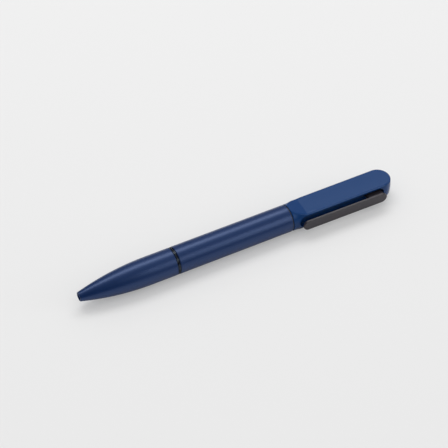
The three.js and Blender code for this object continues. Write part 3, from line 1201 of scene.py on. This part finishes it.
    def pocket(self, skin: Skin) -> None:
        """Makes the pocket's rounded rim, its wall and its floor.

        Args:
            skin: The faces so far.
        """
        rows = []
        mouth = self.pocket_loop(self.rim_fillet)
        for sine, cosine in quarter(self.arc_steps):
            loop = zip(self.pocket_loop(self.rim_fillet * (1 - sine)), mouth)
            depth = self.rim_fillet * (1 - cosine)
            rows.append(skin.row((self.start + x, depth - self.side_at(*edge), z) for (x, z), edge in loop))
        floor = self.half_width - self.pocket_depth
        for sine, cosine in quarter(self.arc_steps):
            loop = self.pocket_loop(-self.floor_fillet * (1 - cosine))
            reach = floor + self.floor_fillet * (1 - sine)
            rows.append(skin.row((self.start + x, -reach, z) for x, z in loop))
        skin.strips(rows, closed=True)
        skin.face(rows[-1])

    def bore(self, skin: Skin) -> None:
        """Makes the chamfered front edge, the front face and the stepped bore.

        Args:
            skin: The faces so far.
        """
        first = self.section(self.front_chamfer)
        rows = [skin.row((self.start + self.front_chamfer, y, z) for y, z in first)]
        shrunk = [(y, z, 1 - self.front_chamfer / math.hypot(y, z)) for y, z in first]
        rows.append(skin.row((self.start, y * k, z * k) for y, z, k in shrunk))
        stepped = self.counterbore_depth + self.step_depth
        profile = [
            (0.0, self.counterbore),
            (self.counterbore_depth, self.counterbore),
            (self.counterbore_depth, self.step_bore),
            (stepped, self.step_bore),
            (stepped, self.coupling_bore),
            (self.bore_length, self.coupling_bore),
        ]
        turns = [math.atan2(z, y) for y, z in first]
        for along, radius in profile:
            ring = [(radius * math.cos(turn), radius * math.sin(turn)) for turn in turns]
            rows.append(skin.row((self.start + along, y, z) for y, z in ring))
        skin.strips(rows, closed=True)
        point = skin.row([(self.start + self.bore_length + self.drill_point, 0.0, 0.0)])[0]
        for i, corner in enumerate(rows[-1]):
            skin.face((corner, rows[-1][(i + 1) % len(rows[-1])], point))

    def build(self) -> None:
        """Makes the shell and dresses the pieces that turn inside it."""
        skin = Skin(self.line)
        self.wall_rows(skin)
        self.clip_side(skin)
        self.bore(skin)
        self.settle(skin, "upper_shell", MATTE_BLUE, "upper")
        self.wardrobe.dress(BLACK_PLASTIC, "cam_sleeve")
        self.wardrobe.dress(STEEL, "retaining_ring")
        self.wardrobe.dress(BRASS, "cap_coupling")


@dataclass(frozen=True)
class Clip(Section):
    """The clip: one springy blade, with a rounded pad at its free end and a foot set in the pocket."""

    upper: UpperSection
    tip_gap: float = 0.45 * MM
    end_gap: float = 0.2 * MM
    side_gap: float = 0.25 * MM
    thickness: float = 0.8 * MM
    reach_front: float = 7.75 * MM
    reach_rear: float = 8.1 * MM
    outer_fillet: float = 0.18 * MM
    inner_fillet: float = 0.1 * MM
    pad_setback: float = 0.85 * MM
    pad_length: float = 3.4 * MM
    pad_height: float = 1.1 * MM
    pad_half: float = 1.5 * MM
    foot_length: float = 7.8 * MM
    foot_half: float = 1.1 * MM
    foot_setback: float = 0.4 * MM
    foot_fillet: float = 0.12 * MM
    foot_gap: float = 0.04 * MM
    bend_length: float = 9.0 * MM
    arc_steps: int = 4
    loop_steps: int = 20
    loop_pitch: float = 0.8 * MM
    foot_steps: int = 12
    pad_squareness: int = 6
    pad_steps: tuple[int, int] = (32, 20)

    @property
    def start(self) -> float:
        """The blade's free end, from the upper section's start."""
        return self.upper.pocket_start + self.tip_gap

    @property
    def length(self) -> float:
        """The blade's length."""
        return self.upper.pocket_length - self.tip_gap - self.end_gap

    @property
    def half(self) -> float:
        """Half the blade's height."""
        return self.upper.pocket_half - self.side_gap

    def reach_at(self, along: float) -> float:
        """Distance of the outer face from the axis, towards -Y."""
        share = (along - self.start) / self.length
        return self.reach_front + (self.reach_rear - self.reach_front) * share

    def loop(self, shrink: float) -> list[Flat]:
        """The blade's outline, drawn in.

        Args:
            shrink: How far it is drawn in.

        Returns:
            Points of distance along and height.
        """
        first, last = self.start + self.half, self.start + self.length - self.half
        count = round((last - first) / self.loop_pitch)
        stops = [first + (last - first) * i / count for i in range(1, count)]
        return stadium((first, last), self.half - shrink, self.loop_steps, stops)

    @property
    def foot_ends(self) -> Flat:
        """The centres of the foot's two round ends, from the upper section's start."""
        end = self.start + self.length
        return end - self.foot_length + self.foot_half, end - self.foot_half - self.foot_setback

    def foot_loop(self, grow: float) -> list[Flat]:
        """The foot's outline, grown outwards."""
        return stadium(self.foot_ends, self.foot_half + grow, self.foot_steps)

    @property
    def pad_middle(self) -> float:
        """The middle of the pad, from the upper section's start."""
        return self.start + self.pad_setback + self.pad_length / 2

    def pad_at(self, along: float, height: float) -> float:
        """How far the pad stands in from the blade's inner face.

        Args:
            along: Distance from the upper section's start.
            height: Offset from the axis towards +Z.

        Returns:
            The distance.
        """
        near = abs(along - self.pad_middle) / (self.pad_length / 2)
        wide = abs(height) / self.pad_half
        if near >= 1 or wide >= 1:
            return 0.0
        return self.pad_height * math.sqrt(1 - near**2) * math.sqrt(1 - wide**self.pad_squareness)

    def inner_at(self, along: float, height: float) -> Triple:
        """The place of a flat point on the blade's inner face."""
        reach = self.reach_at(along) - self.thickness - self.pad_at(along, height)
        return self.upper.start + along, -reach, height

    def ring(self, skin: Skin, loop: Sequence[Flat], depth: float) -> Row:
        """Adds a row of corners round the blade, at one depth below its outer face."""
        return skin.row((self.upper.start + x, depth - self.reach_at(x), z) for x, z in loop)

    def faces(self, skin: Skin) -> None:
        """Makes the outer face, the rounded rim and the inner face.

        Args:
            skin: The faces so far.
        """
        rows = []
        for sine, cosine in quarter(self.arc_steps):
            loop = self.loop(self.outer_fillet * (1 - sine))
            rows.append(self.ring(skin, loop, self.outer_fillet * (1 - cosine)))
        for sine, cosine in quarter(self.arc_steps):
            loop = self.loop(self.inner_fillet * (1 - cosine))
            rows.append(self.ring(skin, loop, self.thickness - self.inner_fillet * (1 - sine)))
        skin.strips(rows, closed=True)
        skin.patch(
            [self.loop(self.outer_fillet)],
            [],
            lambda along, height: True,
            lambda along, height: (self.upper.start + along, -self.reach_at(along), height),
        )
        foot_half = self.foot_half + self.foot_fillet
        skin.patch(
            [self.loop(self.inner_fillet), self.foot_loop(self.foot_fillet)],
            self.inner_points(),
            lambda along, height: off_spine(along, height, self.foot_ends) >= foot_half,
            self.inner_at,
        )

    def inner_points(self) -> list[Flat]:
        """Points that give the pad its shape.

        Returns:
            Points of distance along and height.
        """
        steps, more = self.pad_steps
        alongs = [
            self.pad_middle - math.cos(math.pi * i / steps) * self.pad_length / 2 for i in range(steps + 1)
        ]
        heights = [-math.cos(math.pi * k / more) * self.pad_half for k in range(more + 1)]
        return [(along, height) for along in alongs for height in heights]

    def foot(self, skin: Skin) -> None:
        """Makes the foot that stands in the pocket.

        Args:
            skin: The faces so far.
        """
        floor = self.upper.half_width - self.upper.pocket_depth + self.foot_gap
        rows = []
        for sine, cosine in quarter(self.arc_steps):
            loop = self.foot_loop(self.foot_fillet * (1 - sine))
            rows.append(self.ring(skin, loop, self.foot_fillet * (1 - cosine) + self.thickness))
        for sine, cosine in quarter(self.arc_steps):
            loop = self.foot_loop(-self.foot_fillet * (1 - cosine))
            reach = floor + self.foot_fillet * (1 - sine)
            rows.append(skin.row((self.upper.start + x, -reach, z) for x, z in loop))
        skin.strips(rows, closed=True)
        skin.face(rows[-1])

    def build(self) -> None:
        """Makes the clip as one piece, blade and foot together."""
        skin = Skin(self.line)
        self.faces(skin)
        self.foot(skin)
        piece = skin.body("clip_fine", self.wardrobe.material(SATIN_BLACK))
        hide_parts("clip_arm", "clip_foot")
        root = self.upper.start + self.start + self.length - self.foot_length
        start = self.line.at(root, -self.reach_rear, 0.0)
        end = self.line.at(root - self.bend_length, -self.reach_rear, 0.0)
        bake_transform(piece)


@dataclass(frozen=True)
class Refill(Section):
    """The refill, of which the point shows when it is out."""

    ball: float = 0.35 * MM
    ball_reach: float = 0.2 * MM
    point_front: float = 0.48 * MM
    point_rear: float = 0.85 * MM
    point_length: float = 4.0 * MM
    shank: float = 0.45 * MM
    neck: float = 1.15 * MM
    neck_length: float = 8.0 * MM
    neck_fillet: float = 0.1 * MM
    spigot: float = 1.11 * MM
    socket_room: float = 0.02 * MM
    point_room: float = 0.04 * MM
    point_fillet: float = 0.05 * MM
    cone_setback: float = 0.5 * MM
    cone_fillet: float = 0.4 * MM
    step_fillet: float = 0.08 * MM
    ball_steps: int = 20
    ball_around: int = 40

    def build(self) -> None:
        """Makes the ball, the point and the neck, and dresses the rest of the refill."""
        self.point()
        self.neck_piece()
        self.round_ball()
        self.wardrobe.dress(STEEL, "refill_tube", "guide_pin")
        self.wardrobe.dress(BRASS, "refill_collar")
        self.wardrobe.dress(WHITE_PLASTIC, "refill_end_plug", "drive_plunger")

    def point(self) -> None:
        """Makes the conical point with its shank and its socket for the ball."""
        begin, end = self.line.span("refill_point")
        back = begin - self.ball_reach + self.point_length
        socket = self.ball + self.socket_room
        depth = 2 * self.ball - self.ball_reach + self.socket_room
        corners = [
            Corner(begin + depth, 0.0),
            Corner(begin + depth, socket),
            Corner(begin, socket),
            Corner(begin, self.point_front, self.point_fillet),
            Corner(back - self.cone_setback, self.point_rear, self.cone_fillet),
            Corner(back, self.point_rear, self.point_fillet),
            Corner(back, self.shank),
            Corner(end, self.shank, self.step_fillet),
            Corner(end, 0.0),
        ]
        self.drum("refill_point", corners, SMALL_AROUND, STEEL, "refill")

    def neck_piece(self) -> None:
        """Makes the brass neck that holds the point."""
        begin, end = self.line.span("refill_holder")
        shoulder = begin + self.neck_length
        mouth = self.point_rear + self.point_room
        channel = self.shank + self.point_room
        corners = [
            Corner(begin, channel),
            Corner(begin, mouth),
            Corner(begin + self.neck - self.point_rear, self.neck, self.neck_fillet),
            Corner(shoulder, self.neck, self.step_fillet),
            Corner(shoulder, self.spigot),
            Corner(end, self.spigot, self.step_fillet),
            Corner(end, channel),
        ]
        self.drum("refill_holder", corners, SMALL_AROUND, BRASS, "refill")

    def round_ball(self) -> None:
        """Makes the writing ball."""
        begin, _ = self.line.span("writing_ball")
        turns = [math.pi * i / self.ball_steps for i in range(self.ball_steps + 1)]
        skin = Skin(self.line)
        outline = [(begin + self.ball * (1 - math.cos(turn)), self.ball * math.sin(turn)) for turn in turns]
        skin.turn(outline, self.ball_around)
        self.settle(skin, "writing_ball", STEEL, "refill", smooth=60.0)


@dataclass(frozen=True)
class Lamp:
    """A soft rectangular lamp that points at the pen, or straight down.

    One that doesn't light matte surfaces shows as a highlight alone.
    """

    name: str
    offset: Triple
    width: float
    depth: float
    radiance: float
    overhead: bool = False
    lights_matte: bool = True

    def build(self, target: Vector) -> None:
        """Adds the lamp.

        Args:
            target: The place that it lights.
        """
        data = bpy.data.lights.new(self.name, "AREA")
        data.shape = "RECTANGLE"
        data.size, data.size_y = self.width, self.depth
        data.energy = self.radiance * math.pi * self.width * self.depth
        lamp = bpy.data.objects.new(self.name, data)
        lamp.location = target + Vector(self.offset)
        lamp.visible_diffuse = self.lights_matte
        if not self.overhead:
            lamp.rotation_mode = "QUATERNION"
            lamp.rotation_quaternion = (-Vector(self.offset)).to_track_quat("-Z", "Y")
        bpy.context.scene.collection.objects.link(lamp)


@dataclass(frozen=True)
class Sky:
    """A light level that eases from low to high as a ray turns towards a direction."""

    towards: Triple
    start: float
    end: float
    low: float
    high: float

    def level(self, graph: Graph) -> Wire:
        """The level, from the cosine of the angle between the ray and the direction.

        Args:
            graph: The world's graph.

        Returns:
            The level.
        """
        ray = graph.node("ShaderNodeTexCoord", output="Generated")
        inputs = {0: ray, 1: self.towards}
        facing = graph.node("ShaderNodeVectorMath", {"operation": "DOT_PRODUCT"}, inputs, 1)
        inputs = {"Value": facing, 1: self.start, 2: self.end, 3: self.low, 4: self.high}
        return graph.node("ShaderNodeMapRange", {"interpolation_type": "SMOOTHSTEP"}, inputs)


@dataclass(frozen=True)
class Studio:
    """The pale floor, the soft light and the camera."""

    line: Line
    floor_side: float = 6.0
    floor_colour: Colour = colour(217, 217, 217)
    floor_tint: Colour = colour(236, 236, 236)
    floor_glow: float = 0.33
    floor_roughness: float = 0.9
    floor_specular: float = 0.1
    gloss: Sky = Sky(towards=(0.5, 0.32, 0.8), start=0.35, end=0.95, low=0.01, high=0.5)
    soft: Sky = Sky(towards=(0.2, 0.1, 0.97), start=-0.1, end=0.9, low=0.25, high=1.28)
    lamps: tuple[Lamp, ...] = (
        Lamp("key", (0.26, 0.56, 1.03), 1.2, 0.54, 3.3, overhead=True),
        Lamp("fill", (0.56, -0.9, 0.7), 0.4, 0.8, 3.3, lights_matte=False),
        Lamp("side", (1.0, -0.55, 0.28), 0.5, 0.4, 3.0),
    )
    azimuth: float = -27.7
    elevation: float = 45.5
    distance: float = 0.6
    sensor: float = 36.0
    focal_pixels: float = 1521.0
    aim_along: float = 70.5 * MM
    aim_pixel: Flat = (242.5, 234.9)
    clip: Flat = (0.01, 20.0)

    def camera(self) -> None:
        """Places the camera so that the aimed point of the axis falls on its pixel."""
        azimuth, elevation = math.radians(self.azimuth), math.radians(self.elevation)
        back = Vector(
            (
                math.sin(azimuth) * math.cos(elevation),
                -math.cos(azimuth) * math.cos(elevation),
                math.sin(elevation),
            )
        )
        right = Vector((math.cos(azimuth), math.sin(azimuth), 0.0))
        up = back.cross(right)
        per_pixel = self.distance / self.focal_pixels
        across = (self.aim_pixel[0] - IMAGE_SIDE / 2) * per_pixel
        down = (self.aim_pixel[1] - IMAGE_SIDE / 2) * per_pixel
        target = self.line.at(self.aim_along, 0.0, 0.0) - right * across + up * down
        data = bpy.data.cameras.new("camera")
        data.sensor_width = self.sensor
        data.lens = self.focal_pixels * self.sensor / IMAGE_SIDE
        data.clip_start, data.clip_end = self.clip
        camera = bpy.data.objects.new("camera", data)
        camera.location = target + back * self.distance
        camera.rotation_mode = "QUATERNION"
        camera.rotation_quaternion = (-back).to_track_quat("-Z", "Y")
        bpy.context.scene.collection.objects.link(camera)
        bpy.context.scene.camera = camera

    def floor(self) -> None:
        """Lays the floor that the pen rests on."""
        mesh = bmesh.new()
        half = self.floor_side / 2
        places = ((-half, -half), (half, -half), (half, half), (-half, half))
        mesh.faces.new([mesh.verts.new((x, y, 0.0)) for x, y in places])
        made = bpy.data.meshes.new("floor")
        mesh.to_mesh(made)
        mesh.free()
        material = bpy.data.materials.new("pale_floor")
        material.use_nodes = True
        graph = Graph(material.node_tree)
        inputs = {
            "Base Color": self.floor_colour,
            "Roughness": self.floor_roughness,
            "Specular IOR Level": self.floor_specular,
        }
        matte = graph.node("ShaderNodeBsdfPrincipled", {}, inputs)
        glow = graph.node("ShaderNodeEmission", {}, {"Color": self.floor_tint, "Strength": 1.0})
        seen = graph.node("ShaderNodeLightPath", output="Is Camera Ray")
        mix = graph.node("ShaderNodeMixShader", {}, {0: self.floor_glow * seen, 1: matte, 2: glow})
        graph.node("ShaderNodeOutputMaterial", {}, {"Surface": mix})
        made.materials.append(material)
        floor = bpy.data.objects.new("floor", made)
        bpy.context.scene.collection.objects.link(floor)

    def sky(self) -> None:
        """Lights the world softly from above and behind, and shows it as pale as the floor."""
        world = bpy.data.worlds.new("studio")
        bpy.context.scene.world = world
        world.use_nodes = True
        graph = Graph(world.node_tree)
        mirrored = self.gloss.level(graph)
        soft = self.soft.level(graph)
        glossy = graph.node("ShaderNodeLightPath", output="Is Glossy Ray")
        seen = graph.node("ShaderNodeLightPath", output="Is Camera Ray")
        strength = (mirrored * glossy + soft * (1 - glossy)) * (1 - seen) + seen
        shader = graph.node("ShaderNodeBackground", {}, {"Color": self.floor_tint, "Strength": strength})
        graph.node("ShaderNodeOutputWorld", {}, {"Surface": shader})

    def build(self) -> None:
        """Makes the studio."""
        bpy.context.scene.view_settings.view_transform = "Standard"
        self.camera()
        self.floor()
        self.sky()
        for lamp in self.lamps:
            lamp.build(self.line.at(self.aim_along, 0.0, 0.0))


def main() -> None:
    """Builds the pen and the studio."""
    logging.basicConfig(level=logging.INFO, format="%(name)s: %(message)s")
    line = Line.found()
    wardrobe = Wardrobe()
    Studio(line).build()
    Nose(line, wardrobe).build()
    Barrel(line, wardrobe).build()
    upper = UpperSection(line, wardrobe)
    upper.build()
    Clip(line, wardrobe, upper).build()
    Refill(line, wardrobe).build()


if __name__ == "__main__":
    main()
